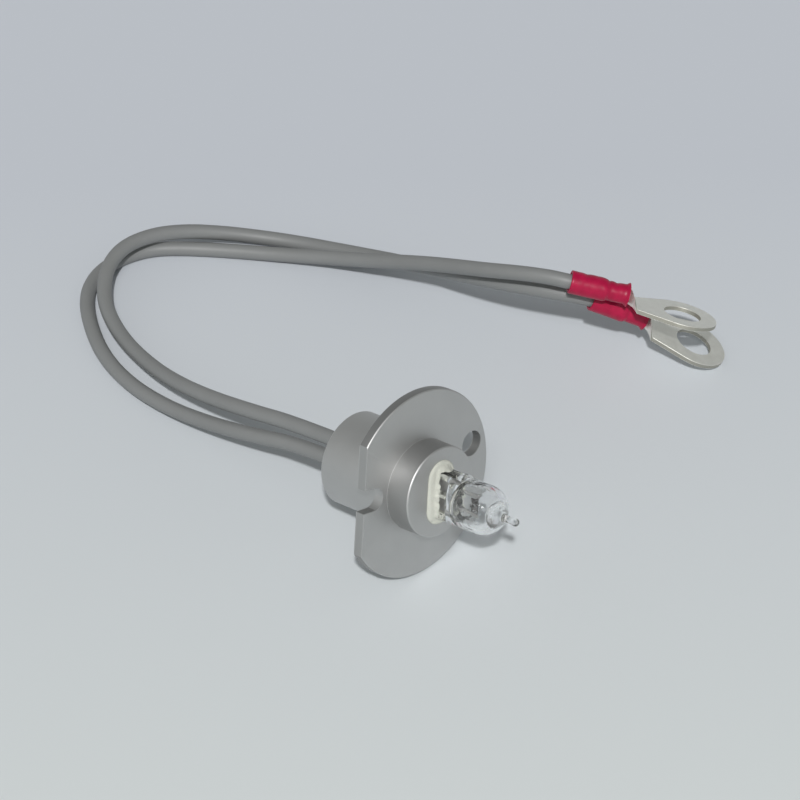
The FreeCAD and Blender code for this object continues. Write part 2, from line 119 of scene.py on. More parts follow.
class BulbSizes(bpy.types.PropertyGroup):
    """The quartz envelope and what is sealed in it."""
    bulb_diameter: length("Bulb diameter", 0.00825, "Diameter of the blown bulb")
    wall: length("Wall", 0.00085, "Wall of the blown bulb")
    dome_height: length("Dome height", 0.0139, "Height of the dome's centre")
    dome_thickening: length("Dome thickening", 0.0004, "Glass that the dome has more than the wall")
    cavity_floor: length("Cavity floor", 0.0092, "Height of the gas space's floor")
    pinch_base: length("Pinch base", 0.0006, "Height of the seal's lower end")
    pinch_top: length("Pinch top", 0.0074, "Height at which the seal starts to widen into the bulb")
    pinch_width: length("Pinch width", 0.0084, "Width of the pressed seal")
    pinch_thickness: length("Pinch thickness", 0.0032, "Thickness of the seal at its rims")
    pinch_web: length("Pinch web", 0.0023, "Thickness of the seal between its rims")
    tip_height: length("Tip height", 0.0214, "Height of the drawn-off tip")
    tip_radius: length("Tip radius", 0.00055, "Radius of the tip's neck")
    pin_spacing: length("Pin spacing", 0.0034, "Distance between the two current paths")
    coil_height: length("Coil height", 0.0119, "Height of the filament")
    coil_radius: length("Coil radius", 0.00062, "Mean radius of the filament's turns")
    coil_wire: length("Coil wire", 0.0002, "Diameter of the filament's wire")
    coil_pitch: length("Coil pitch", 0.00042, "Distance between the filament's turns")
    coil_offset: length("Coil offset", 0.000275, "From the bulb's middle plane to the filament's axis")
    coil_turns: IntProperty(name="Coil turns", description="Turns of the filament", default=6, min=1)


class LeadSizes(bpy.types.PropertyGroup):
    """The two leads and their ends."""
    wire_diameter: length("Lead diameter", 0.0026, "Diameter over the jacket")
    conductor_diameter: length("Conductor diameter", 0.0017, "Diameter of the bare strands")
    jacket_inside: length("Jacket inside", 0.0042, "How far the jacket reaches into the barrel")
    strip_length: length("Strip length", 0.0034, "Bare strands in the splice")
    length_a: length("Length of lead a", 0.1889, "Free length of one lead")
    length_b: length("Length of lead b", 0.1903, "Free length of the other lead")
    straight_a: length("Straight of lead a", 0.0128, "Straight stretch of one lead from its exit")
    straight_b: length("Straight of lead b", 0.0123, "Straight stretch of the other lead from its exit")
    roll_a: angle("Roll of terminal a", 0.0, "Turn of one terminal about its length")
    roll_b: angle("Roll of terminal b", -17.0, "Turn of the other terminal about its length")
    crimp_start: length("Crimp start", 0.0104, "From the ring's centre to the crimp")
    crimp_length: length("Crimp length", 0.0056, "Length of the rolled crimp")
    crimp_wall: length("Crimp wall", 0.00055, "Wall of the rolled crimp")
    crimp_axis: length("Crimp axis", 0.0015, "Rise of the crimp's axis over the plate")
    conductor_stub: length("Conductor stub", 0.0007, "Bare strands in front of the crimp")
    ring_hole: length("Ring hole", 0.0065, "Hole of the ring terminal")
    ring_diameter: length("Ring diameter", 0.012, "Outside of the ring")
    sheet: length("Sheet", 0.0008, "Thickness of the terminal's plate")
    sheet_break: length("Sheet break", 0.00011, "Rounding on the plate's edges")
    neck_end: length("Neck end", 0.0082, "From the ring's centre to where the neck starts to curl")
    neck_width: length("Neck width", 0.0048, "Width to which the neck's sides taper at the crimp")
    seam: angle("Crimp seam", 26.0, "Gap left where the rolled crimp meets")
    sleeve_start: length("Sleeve start", 0.010, "From the ring's centre to the sleeve")
    sleeve_length: length("Sleeve length", 0.0103, "Length of the sleeve")
    sleeve_wide_length: length("Wide length", 0.0062, "Length of the sleeve's wide part")
    sleeve_diameter: length("Sleeve diameter", 0.004, "Diameter of the sleeve's wide part")
    sleeve_bore: length("Sleeve bore", 0.003, "Bore of the sleeve's wide part")
    sleeve_wall: length("Sleeve wall", 0.00032, "Wall of the sleeve over the crimp")
    sleeve_lip: length("Sleeve lip", 0.00034, "Height of the lip at the ring's side")
    wire_in_sleeve: length("Lead in sleeve", 0.0041, "How far the lead goes into its sleeve")


class LampColours(bpy.types.PropertyGroup):
    """The colours of the finishes."""
    aluminium: colour("Aluminium", (0.555, 0.555, 0.55), "Turned aluminium of the holder")
    cement: colour("Cement", (0.555, 0.56, 0.50), "Ceramic cement round the bulb")
    potting: colour("Potting", (0.62, 0.61, 0.56), "Potting at the barrel's back")
    foil: colour("Foil", (0.44, 0.44, 0.43), "Sealing foils in the pinch")
    tungsten: colour("Tungsten", (0.16, 0.155, 0.15), "Filament and its posts")
    nickel: colour("Nickel", (0.55, 0.54, 0.50), "Pins under the bulb")
    jacket: colour("Jacket", (0.205, 0.210, 0.208), "Jacket of the leads")
    strand: colour("Strand", (0.66, 0.64, 0.58), "Tinned strands")
    terminal: colour("Terminal", (0.93, 0.92, 0.85), "Tin plate of the terminals")
    sleeve: colour("Sleeve", (0.38, 0.004, 0.046), "Insulating sleeves")
    splice: colour("Splice", (0.55, 0.46, 0.24), "Crimped splices in the barrel")
    fibre: colour("Fibre", (0.70, 0.69, 0.63), "Heat-proof sleeves in the barrel")
    floor: colour("Floor", (0.73, 0.77, 0.76), "The surface that the lamp lies on")


GROUPS = {
    "lamp_pose": LampPose,
    "lamp_holder": HolderSizes,
    "lamp_bulb": BulbSizes,
    "lamp_leads": LeadSizes,
    "lamp_colours": LampColours,
}

# Routes of the leads after their straight stretch, in mm: x, y and the rise above a lead that lies flat
ROUTE_A = [
    (-38.0, 0.0, 9.6),
    (-49.5, 0.5, 6.6),
    (-61.0, 2.5, 3.6),
    (-71.5, 5.5, 1.8),
    (-79.6, 8.6, 1.4),
    (-86.2, 12.3, 2.1),
    (-91.0, 17.8, 3.4),
    (-92.7, 23.5, 4.2),
    (-91.9, 29.8, 3.9),
    (-89.4, 35.5, 3.0),
    (-85.6, 41.0, 1.6),
    (-80.8, 45.9, 0.4),
    (-75.2, 49.6, 0.0),
    (-67.6, 52.3, 0.6),
    (-58.3, 54.0, 2.4),
    (-49.2, 54.0, 5.2),
    (-42.0, 53.4, 7.8),
    (-35.2, 53.1, 10.0),
    (-28.9, 53.6, 11.6),
    (-23.2, 55.1, 12.5),
    (-18.2, 57.7, 12.4),
    (-15.3, 60.2, 11.6),
    (-12.75, 62.75, 9.9),
]
ROUTE_B = [
    (-36.0, -1.5, 6.4),
    (-46.5, -1.5, 3.4),
    (-57.0, -1.0, 1.0),
    (-67.0, 0.0, 0.0),
    (-76.0, 2.5, 0.0),
    (-84.0, 7.0, 0.0),
    (-90.8, 12.4, 0.0),
    (-94.3, 18.2, 0.0),
    (-94.9, 24.6, 0.0),
    (-92.8, 30.6, 0.0),
    (-88.2, 35.1, 0.0),
    (-81.7, 40.0, 0.0),
    (-74.3, 44.7, 0.3),
    (-66.3, 48.1, 1.8),
    (-58.0, 49.7, 4.4),
    (-50.0, 50.4, 7.6),
    (-43.0, 50.4, 10.6),
    (-36.7, 50.2, 13.2),
    (-30.4, 50.4, 15.5),
    (-24.5, 51.6, 17.2),
    (-19.4, 53.6, 17.8),
    (-16.1, 55.4, 17.4),
    (-13.3, 57.9, 16.4),
]


def laid(scene):
    """The turn from the upright lamp to the pose in which it lies."""
    return Matrix.Rotation(-scene.lamp_pose.tilt, 4, "Y")


def laid_bulb(scene):
    """The turn from the upright bulb to the pose in which it lies."""
    return laid(scene) @ Matrix.Rotation(-scene.lamp_pose.bulb_turn, 4, "X")


def table_level(scene):
    """Height of the table, under the lowest point of the tilted rim."""
    holder = scene.lamp_holder
    tilt = scene.lamp_pose.tilt
    rear = holder.flange_chamfer - holder.flange_thickness
    return rear * math.sin(tilt) - holder.flange_diameter / 2 * math.cos(tilt)


def barrel_end(scene):
    """Height of the barrel's rear face along the lamp's axis."""
    return -scene.lamp_holder.flange_thickness - scene.lamp_holder.barrel_length


# Shader maths


class Value:
    """A shader socket whose arithmetic adds the nodes that work it out."""

    def __init__(self, finish, socket):
        self.finish = finish
        self.socket = socket

    def math(self, operation, *values):
        sockets = dict(enumerate(values))
        return self.finish.add("ShaderNodeMath", {"operation": operation}, sockets)

    def __add__(self, other):
        return self.math("ADD", self, other)

    def __radd__(self, other):
        return self.math("ADD", other, self)

    def __sub__(self, other):
        return self.math("SUBTRACT", self, other)

    def __rsub__(self, other):
        return self.math("SUBTRACT", other, self)

    def __mul__(self, other):
        return self.math("MULTIPLY", self, other)

    def __rmul__(self, other):
        return self.math("MULTIPLY", other, self)

    def __pow__(self, other):
        return self.math("POWER", self, other)

    def __gt__(self, other):
        return self.math("GREATER_THAN", self, other)

    def __lt__(self, other):
        return self.math("LESS_THAN", self, other)

    def sine(self):
        return self.math("SINE", self)

    def clamped(self):
        return self.finish.add("ShaderNodeClamp", {}, {"Value": self})


class Finish:
    """One material, and the one way in which its nodes are made."""

    def __init__(self, name, world=None):
        self.material = world or bpy.data.materials.new(name)
        self.material.use_nodes = True
        self.tree = self.material.node_tree
        self.tree.nodes.clear()

    def add(self, kind, settings, sockets, output=0):
        """Adds a node, sets it up, fills its sockets and returns one of its outputs."""
        node = self.tree.nodes.new(kind)
        for name, value in settings.items():
            setattr(node, name, value)
        for name, value in sockets.items():
            if isinstance(value, Value):
                self.tree.links.new(value.socket, node.inputs[name])
            else:
                node.inputs[name].default_value = value
        return Value(self, node.outputs[output]) if node.outputs else None

    def place(self, turn=None):
        """Object coordinates, turned back to the upright lamp if the turn is given."""
        place = self.add("ShaderNodeTexCoord", {}, {}, "Object")
        if turn is None:
            return place
        back = turn.to_3x3().inverted().to_euler()
        return self.add("ShaderNodeMapping", {"vector_type": "POINT"}, {"Vector": place, "Rotation": back})

    def parts(self, place):
        """The three coordinates of a place, as values."""
        return [self.add("ShaderNodeSeparateXYZ", {}, {"Vector": place}, axis) for axis in "XYZ"]

    def grain(self, place, scale, detail=2.0, roughness=0.5, stretch=None):
        """Noise from 0 to 1, about scale cells to a metre."""
        if stretch is not None:
            place = self.add("ShaderNodeVectorMath", {"operation": "MULTIPLY"}, {0: place, 1: stretch})
        return self.add("ShaderNodeTexNoise", {}, {
            "Vector": place, "Scale": scale, "Detail": detail, "Roughness": roughness})

    def mix(self, factor, first, second):
        """A colour between two others."""
        return self.add("ShaderNodeMix", {"data_type": "RGBA"}, {0: factor, 6: first, 7: second}, 2)

    def bumped(self, height, distance, strength, under=None):
        """A normal that follows a height from 0 to 1, which stands for the distance in metres."""
        sockets = {"Height": height, "Distance": distance, "Strength": strength}
        if under is not None:
            sockets["Normal"] = under
        return self.add("ShaderNodeBump", {}, sockets)

    def shader(self, **sockets):
        """A Principled shader, whose sockets are given with underscores for spaces."""
        named = {name.replace("_", " "): value for name, value in sockets.items()}
        return self.add("ShaderNodeBsdfPrincipled", {}, named)

    def done(self, shader):
        """Ends the material in the given shader."""
        self.add("ShaderNodeOutputMaterial", {}, {"Surface": shader})
        return self.material


def shade(rgb, factor=1.0):
    """A colour as a socket takes it, made lighter or darker by a factor."""
    return tuple(min(1.0, part * factor) for part in rgb) + (1.0,)


def painted_shade_on_flange(scene, x, y, z, radius):
    """Mask of painted shade: 1 on the rim, the hole and the slot's lower side, and less on flat and spigot,
    walls darkened to stand in for the dark room that they reflect.
    """
    flat_shade_share, spigot_shade_share = 0.45, 0.75
    size = scene.lamp_holder
    near = size.edge_break
    inset = 0.85 * size.flange_chamfer
    between = (x > inset - size.flange_thickness) * (x < -inset)
    rim = radius > size.flange_diameter / 2 - near
    hole_y = size.screw_hole_offset * math.sin(size.screw_hole_angle)
    hole_z = size.screw_hole_offset * math.cos(size.screw_hole_angle)
    hole = ((y - hole_y) ** 2.0 + (z - hole_z) ** 2.0) < (size.screw_hole_diameter / 2 + near) ** 2
    across = y * math.cos(size.flat_angle) - z * math.sin(size.flat_angle)
    side = (across < near - size.slot_width / 2) * (across > -near - size.slot_width / 2)
    slot = side * (radius > size.slot_floor)
    out = y * math.sin(size.flat_angle) + z * math.cos(size.flat_angle)
    flat = out > size.flat_offset - near
    spigot = (x > near) * (x < size.spigot_length - size.spigot_chamfer)
    spigot = spigot * (radius > size.spigot_diameter / 2 - near)
    return (between * (rim + hole + slot + flat_shade_share * flat) + spigot_shade_share * spigot).clamped()


def turned_aluminium(scene):
    """Satin aluminium with the fine rings that a lathe tool leaves."""
    finish = Finish("turned_aluminium")
    place = finish.place(laid(scene))
    x, y, z = finish.parts(place)
    radius = (y * y + z * z) ** 0.5
    across = x + radius
    line = finish.add("ShaderNodeCombineXYZ", {}, {0: across})
    rings = finish.grain(line, 9000.0, 3.0, 0.7)
    feed = finish.grain(line, 1600.0, 2.0, 0.5)
    haze = finish.grain(place, 260.0, 4.0, 0.55)
    grit = finish.grain(place, 14000.0, 2.0, 0.6)
    rgb = scene.lamp_colours.aluminium
    base = finish.mix(haze, shade(rgb, 0.93), shade(rgb, 1.07))
    base = finish.mix(rings * 0.25, base, shade(rgb, 0.8))
    # Painted shade: the flange's walls and the spigot's side are darkened in the colour, standing in for the
    # dark surroundings they reflect and toning down the spigot's highlight.
    walls = painted_shade_on_flange(scene, x, y, z, radius)
    base = finish.mix(walls * 0.75, base, shade(rgb, 0.52))
    rough = 0.45 + 0.10 * haze + 0.06 * grit + 0.05 * walls
    normal = finish.bumped(rings * 0.6 + feed * 0.4, 0.000012, 0.55)
    normal = finish.bumped(grit, 0.000006, 0.5, normal)
    return finish.done(finish.shader(Base_Color=base, Metallic=1.0, Roughness=rough, Normal=normal))


def cast_cement(name, rgb):
    """Matt ceramic cement: fine sand, small pits and faint stains."""
    finish = Finish(name)
    place = finish.place()
    sand = finish.grain(place, 5200.0, 4.0, 0.7)
    lumps = finish.grain(place, 900.0, 3.0, 0.6)
    stain = finish.grain(place, 330.0, 2.0, 0.5)
    pits = finish.add(
        "ShaderNodeTexVoronoi", {"feature": "F1"}, {"Vector": place, "Scale": 2600.0}, "Distance")
    base = finish.mix(stain, shade(rgb, 0.92), shade(rgb, 1.06))
    base = finish.mix((0.55 - sand).clamped() * 1.4, base, shade(rgb, 0.72))
    height = sand * 0.5 + lumps * 0.9 + pits.clamped() * 0.35
    normal = finish.bumped(height, 0.00009, 0.8)
    rough = 0.78 + 0.14 * sand
    return finish.done(finish.shader(
        Base_Color=base, Roughness=rough, Normal=normal, Specular_IOR_Level=0.35))


def clear_quartz(scene):
    """Clear polished quartz with faint draw lines, and waves where the dome was melted shut.

    It lets the sun through as a veil: its own pieces are lit through it, and the table gets its shadow.
    """
    finish = Finish("clear_quartz")
    place = finish.place(laid_bulb(scene))
    draw = finish.grain(place, 430.0, 2.0, 0.5, (0.6, 1.0, 1.0))
    ripple = finish.grain(place, 1150.0, 1.0, 0.5, (0.7, 1.0, 1.0))
    normal = finish.bumped(draw * 0.72 + ripple * 0.28, 0.00036, 0.6)
    x, y, z = finish.parts(place)
    size = scene.lamp_bulb
    rise, fade, end = 900.0, 1250.0, 2500.0
    radius = (y * y + z * z) ** 0.5
    over = size.dome_height + size.bulb_diameter / 2 + 0.0004
    crown = ((x - size.dome_height) * rise).clamped() * (3.2 - radius * fade).clamped()
    crown = crown * ((over - x) * end).clamped()
    melt = finish.grain(place, 1500.0, 2.0, 0.5)
    normal = finish.bumped(melt * crown, 0.00030, 0.7, normal)
    glass = finish.shader(
        Base_Color=(0.985, 0.99, 0.992, 1.0), Roughness=0.0, IOR=1.46, Transmission_Weight=1.0,
        Normal=normal)
    near = finish.add("ShaderNodeBsdfTransparent", {}, {"Color": (0.80, 0.805, 0.81, 1.0)})
    far = finish.add("ShaderNodeBsdfTransparent", {}, {"Color": (0.20, 0.20, 0.20, 1.0)})
    reach = finish.add("ShaderNodeLightPath", {}, {}, "Ray Length")
    veil = finish.add("ShaderNodeMixShader", {}, {0: reach > size.bulb_diameter, 1: near, 2: far})
    shadow = finish.add("ShaderNodeLightPath", {}, {}, "Is Shadow Ray")
    return finish.done(finish.add("ShaderNodeMixShader", {}, {0: shadow, 1: glass, 2: veil}))


def drawn_metal(name, rgb, roughness, streak=6000.0):
    """Plain drawn or rolled metal with fine streaks and a little dullness."""
    finish = Finish(name)
    place = finish.place()
    fine = finish.grain(place, streak, 3.0, 0.6)
    patch = finish.grain(place, 700.0, 3.0, 0.6)
    base = finish.mix(patch, shade(rgb, 0.86), shade(rgb, 1.1))
    rough = roughness + 0.12 * patch
    normal = finish.bumped(fine, 0.000008, 0.5)
    return finish.done(finish.shader(Base_Color=base, Metallic=1.0, Roughness=rough, Normal=normal))


def tin_plate(scene):
    """Matt tin plate on stamped copper: cloudy, lightly scuffed, a little warm."""
    finish = Finish("tin_plate")
    place = finish.place()
    cloud = finish.grain(place, 520.0, 4.0, 0.62)
    scuff = finish.grain(place, 2600.0, 3.0, 0.7, (1.0, 1.0, 0.4))
    fine = finish.grain(place, 11000.0, 2.0, 0.6)
    rgb = scene.lamp_colours.terminal
    base = finish.mix(cloud, shade(rgb, 0.86), shade(rgb, 1.12))
    base = finish.mix((scuff - 0.62).clamped() * 2.2, base, shade((0.42, 0.38, 0.31)))
    # Painted shade: the plate's edge faces are darkened, toning down the light that they catch.
    cut = finish.add("ShaderNodeAttribute", {"attribute_name": "painted_edge_shade"}, {}, "Fac")
    base = finish.mix(cut * 0.85, base, shade((0.34, 0.33, 0.28)))
    rough = 0.34 + 0.20 * cloud + 0.08 * scuff + 0.10 * cut
    normal = finish.bumped(cloud * 0.6 + scuff * 0.4, 0.00004, 0.35)
    normal = finish.bumped(fine, 0.000006, 0.5, normal)
    return finish.done(finish.shader(Base_Color=base, Metallic=0.92, Roughness=rough, Normal=normal))


def grey_jacket(scene):
    """Extruded grey vinyl: even, satin, with soft handling marks and fine dust."""
    finish = Finish("grey_jacket")
    place = finish.place()
    cloud = finish.grain(place, 150.0, 3.0, 0.55)
    skin = finish.grain(place, 3800.0, 3.0, 0.6)
    rub = finish.grain(place, 900.0, 4.0, 0.7, (0.3, 0.3, 1.0))
    rgb = scene.lamp_colours.jacket
    base = finish.mix(cloud, shade(rgb, 0.93), shade(rgb, 1.07))
    base = finish.mix((rub - 0.6).clamped() * 1.2, base, shade(rgb, 1.35))
    rough = 0.42 + 0.12 * rub + 0.05 * skin
    normal = finish.bumped(skin, 0.000018, 0.45)
    return finish.done(finish.shader(
        Base_Color=base, Roughness=rough, Normal=normal, Specular_IOR_Level=0.5))


def red_vinyl(scene):
    """Soft red vinyl of the insulating sleeves, cloudy in tone and gloss."""
    finish = Finish("red_vinyl")
    place = finish.place()
    cloud = finish.grain(place, 600.0, 3.0, 0.55)
    skin = finish.grain(place, 5200.0, 3.0, 0.6)
    rgb = scene.lamp_colours.sleeve
    base = finish.mix(cloud, shade(rgb, 0.62), shade(rgb, 1.30))
    rough = 0.30 + 0.16 * cloud
    normal = finish.bumped(cloud, 0.00012, 0.30)
    normal = finish.bumped(skin, 0.000014, 0.4, normal)
    return finish.done(finish.shader(
        Base_Color=base, Roughness=rough, Normal=normal, Specular_IOR_Level=0.32))


def braided_fibre(scene):
    """Off-white glass fibre braid."""
    finish = Finish("braided_fibre")
    place = finish.place(laid_bulb(scene))
    x, y, z = finish.parts(place)
    weave = (x * 9000.0 + y * 9000.0).sine() * (x * 9000.0 - y * 9000.0 + z * 5000.0).sine()
    rgb = scene.lamp_colours.fibre
    base = finish.mix((weave * 0.5 + 0.5).clamped(), shade(rgb, 0.8), shade(rgb, 1.1))
    normal = finish.bumped(weave, 0.00004, 0.5)
    return finish.done(finish.shader(Base_Color=base, Roughness=0.8, Normal=normal))


def table_top(scene):
    """The pale surface under the lamp, with painted shade that makes it a little darker towards the back."""
    finish = Finish("table_top")
    place = finish.place()
    x, y, z = finish.parts(place)
    # Painted shade: the floor's colour darkens towards the back.
    back = ((y - x) * 3.2 + 0.5).clamped()
    rgb = scene.lamp_colours.floor
    base = finish.mix(back, shade(rgb), shade((rgb[0] * 0.79, rgb[1] * 0.785, rgb[2] * 0.86)))
    return finish.done(finish.shader(Base_Color=base, Roughness=0.75, Specular_IOR_Level=0.2))


def soft_room():
    """The room round the table: bright near the horizon, darker overhead and behind the lamp."""
    finish = Finish("soft_room", bpy.data.worlds.new("soft_room"))
    x, y, z = finish.parts(finish.add("ShaderNodeTexCoord", {}, {}, "Generated"))
    strength = 0.60 - 0.46 * z.clamped() - 0.08 * y - 0.04 * x
    light = finish.add("ShaderNodeBackground", {}, {"Color": (0.97, 1.0, 0.99, 1.0), "Strength": strength})
    finish.add("ShaderNodeOutputWorld", {}, {"Surface": light})
    return finish.material


# Mesh work


def turned(outline, steps):
    """A skin spun about the lamp's axis from (height, radius) points."""
    bm = bmesh.new()
    points = [bm.verts.new((height, 0, radius)) for height, radius in outline]
    edges = [bm.edges.new(pair) for pair in zip(points, points[1:])]
    spin_round(bm, points + edges, steps)
    return bm


def spin_round(bm, geom, steps):
    """Spins points and edges about the X axis into a closed skin that faces outwards."""
    bmesh.ops.spin(
        bm, geom=geom, cent=(0, 0, 0), axis=AXIS, dvec=(0, 0, 0), angle=2 * math.pi,
        steps=steps, use_merge=True, use_normal_flip=False, use_duplicate=False)
    bmesh.ops.remove_doubles(bm, verts=bm.verts, dist=1e-7)
    bmesh.ops.recalc_face_normals(bm, faces=bm.faces)


def rounded(bm, edges, offset, segments=2, clamp=True):
    """Rounds the given edges."""
    bmesh.ops.bevel(
        bm, geom=edges, offset=offset, offset_type="OFFSET", segments=segments, profile=0.5,
        affect="EDGES", clamp_overlap=clamp, material=-1)


def points_of(geom):
    """The points among what an operator made."""
    return [item for item in geom if isinstance(item, bmesh.types.BMVert)]


def followers(verts, new):
    """The new points that an extrusion joined to the given ones, in the same order."""
    return [next(edge.other_vert(old) for edge in old.link_edges if edge.other_vert(old) in new)
            for old in verts]


def chain(verts):
    """The edges that join an open row of points."""
    return [next(edge for edge in first.link_edges if edge.other_vert(first) is second)
            for first, second in zip(verts, verts[1:])]


def sharp_edges(bm, least):
    """The edges whose two faces turn by more than an angle in degrees."""
    limit = math.radians(least)
    return [edge for edge in bm.edges if edge.is_manifold and edge.calc_face_angle() > limit]


def piece(name, bm, material, sharp, replaces):
    """Makes a finished piece of a bmesh: smooth but for its sharp edges, and riding on the lamp."""
    mesh = bpy.data.meshes.new(name)
    bm.to_mesh(mesh)
    bm.free()
    mesh.shade_smooth()
    mesh.set_sharp_from_angle(angle=math.radians(sharp))
    return set_up(bpy.data.objects.new(name, mesh), material, replaces)


def set_up(obj, material, replaces):
    """Links a piece, dresses it and ties it to the CAD model."""
    bpy.context.scene.collection.objects.link(obj)
    obj.data.materials.clear()
    obj.data.materials.append(material)
    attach(obj, BODY)
    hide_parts(replaces)
    return obj


def oblong_prism(start, end, long_side, short_side):
    """A closed oblong prism between two heights, with its length along Z."""
    sides = 48
    bm = bmesh.new()
    turn = Matrix.Rotation(math.radians(90), 4, "Y") @ Matrix.Rotation(math.pi / sides, 4, "Z")
    bmesh.ops.create_circle(bm, cap_ends=True, segments=sides, radius=short_side / 2, matrix=turn)
    reach = (long_side - short_side) / 2
    for vert in bm.verts:
        vert.co += Vector((start, 0, math.copysign(reach, vert.co.z)))
    walls = bmesh.ops.extrude_face_region(bm, geom=bm.faces[:])["geom"]
    bmesh.ops.translate(bm, verts=points_of(walls), vec=(end - start, 0, 0))
    bmesh.ops.recalc_face_normals(bm, faces=bm.faces)
    return bm


def cut_with(bm, tools):
    """Cuts closed tools out of a closed body and returns the body's new bmesh."""
    body = bpy.data.objects.new("body_to_cut", bpy.data.meshes.new("body_to_cut"))
    bm.to_mesh(body.data)
    bm.free()
    helpers = [body]
    for tool in tools:
        helper = bpy.data.objects.new("cutting_tool", bpy.data.meshes.new("cutting_tool"))
        tool.to_mesh(helper.data)
        tool.free()
        helpers.append(helper)
        cut = body.modifiers.new("cut", "BOOLEAN")
        cut.operation = "DIFFERENCE"
        cut.solver = "EXACT"
        cut.object = helper
    for helper in helpers:
        bpy.context.scene.collection.objects.link(helper)
    shaped = bmesh.new()
    shaped.from_object(body, bpy.context.evaluated_depsgraph_get())
    for helper in helpers:
        mesh = helper.data
        bpy.data.objects.remove(helper)
        bpy.data.meshes.remove(mesh)
    bmesh.ops.remove_doubles(shaped, verts=shaped.verts, dist=2e-7)
    return shaped


def turn_round(bm, around):
    """Turns a cutting tool about the lamp's axis, from upright."""
    bmesh.ops.rotate(bm, verts=bm.verts, cent=(0, 0, 0), matrix=Matrix.Rotation(-around, 3, "X"))


def holder_skin(scene):
    """The turned holder with its hole, flat, slot and pocket, upright."""
    size = scene.lamp_holder
    rim = size.flange_diameter / 2
    nose = size.spigot_diameter / 2
    shank = size.barrel_diameter / 2
    bore = shank - size.barrel_wall
    rear = barrel_end(scene)
    back = -size.flange_thickness
    bm = turned([
        (size.chamber_front, 0),
        (size.chamber_front, bore),
        (rear, bore),
        (rear, shank - size.barrel_chamfer),
        (rear + size.barrel_chamfer, shank),
        (back, shank),
        (back, rim - size.flange_chamfer),
        (back + size.flange_chamfer, rim),
        (-size.flange_chamfer, rim),
        (0, rim - size.flange_chamfer),
        (0, nose),
        (size.spigot_length - size.spigot_chamfer, nose),
        (size.spigot_length, nose - size.spigot_chamfer),
        (size.spigot_length, 0),
    ], size.steps)
    turned_corner, cut_corner = 30, 62
    rounded(bm, sharp_edges(bm, turned_corner), size.edge_break)
    through = 0.001
    hole = bmesh.new()
    bmesh.ops.create_cone(
        hole, cap_ends=True, segments=64, radius1=size.screw_hole_diameter / 2,
        radius2=size.screw_hole_diameter / 2, depth=size.flange_thickness + 2 * through,
        matrix=Matrix.Translation((back / 2, 0, 0)) @ Matrix.Rotation(math.radians(90), 4, "Y"))
    bmesh.ops.translate(hole, verts=hole.verts, vec=(0, 0, size.screw_hole_offset))
    turn_round(hole, size.screw_hole_angle)
    flat = bmesh.new()
    bmesh.ops.create_cube(flat, size=1.0)
    bmesh.ops.scale(flat, verts=flat.verts, vec=(size.flange_thickness + 0.4 * through, 2 * rim, rim))
    bmesh.ops.translate(flat, verts=flat.verts, vec=(back / 2, 0, size.flat_offset + rim / 2))
    slot_length = rim
    slot = oblong_prism(back - through, through, slot_length, size.slot_width)
    bmesh.ops.translate(slot, verts=slot.verts, vec=(0, 0, size.slot_floor + slot_length / 2))
    for tool in (flat, slot):
        turn_round(tool, size.flat_angle)
    pocket = oblong_prism(
        size.spigot_length - size.pocket_depth, size.spigot_length + through,
        size.pocket_length, size.pocket_width)
    turn_round(pocket, scene.lamp_pose.bulb_turn)
    bm = cut_with(bm, [hole, flat, slot, pocket])
    rounded(bm, sharp_edges(bm, cut_corner), size.edge_break)
    return bm


def superellipse(angle_round, half_y, half_z, power):
    """A point on a rounded rectangle across the axis, at an angle round it."""
    side = math.sin(angle_round)
    up = math.cos(angle_round)
    share = (abs(side) ** power + abs(up) ** power) ** (-1 / power)
    return side * share * half_y, up * share * half_z


def ring_skin(rings, sides, shape):
    """A skin through rings across the axis: each ring is a height and what its shape needs."""
    bm = bmesh.new()
    turn = Matrix.Rotation(math.radians(90), 4, "Y")
    bmesh.ops.create_circle(bm, cap_ends=False, segments=sides, radius=1.0, matrix=turn)
    verts = bm.verts[:]
    edges = bm.edges[:]
    angles = [math.atan2(vert.co.y, vert.co.z) for vert in verts]
    for number, ring in enumerate(rings):
        if number:
            grown = bmesh.ops.extrude_edge_only(bm, edges=edges)["geom"]
            edges = [item for item in grown if isinstance(item, bmesh.types.BMEdge)]
            edges = [edge for edge in edges if edge.is_boundary]
            verts = followers(verts, {vert for edge in edges for vert in edge.verts})
        for vert, around in zip(verts, angles):
            vert.co = shape(around, *ring)
    return bm


def close_ends(bm):
    """Closes the open rings of a skin and faces it outwards."""
    bmesh.ops.holes_fill(bm, edges=[edge for edge in bm.edges if edge.is_boundary], sides=0)
    bmesh.ops.recalc_face_normals(bm, faces=bm.faces)


def smooth_step(value):
    """A smooth ramp from 0 to 1."""
    value = max(0.0, min(1.0, value))
    return value * value * (3 - 2 * value)


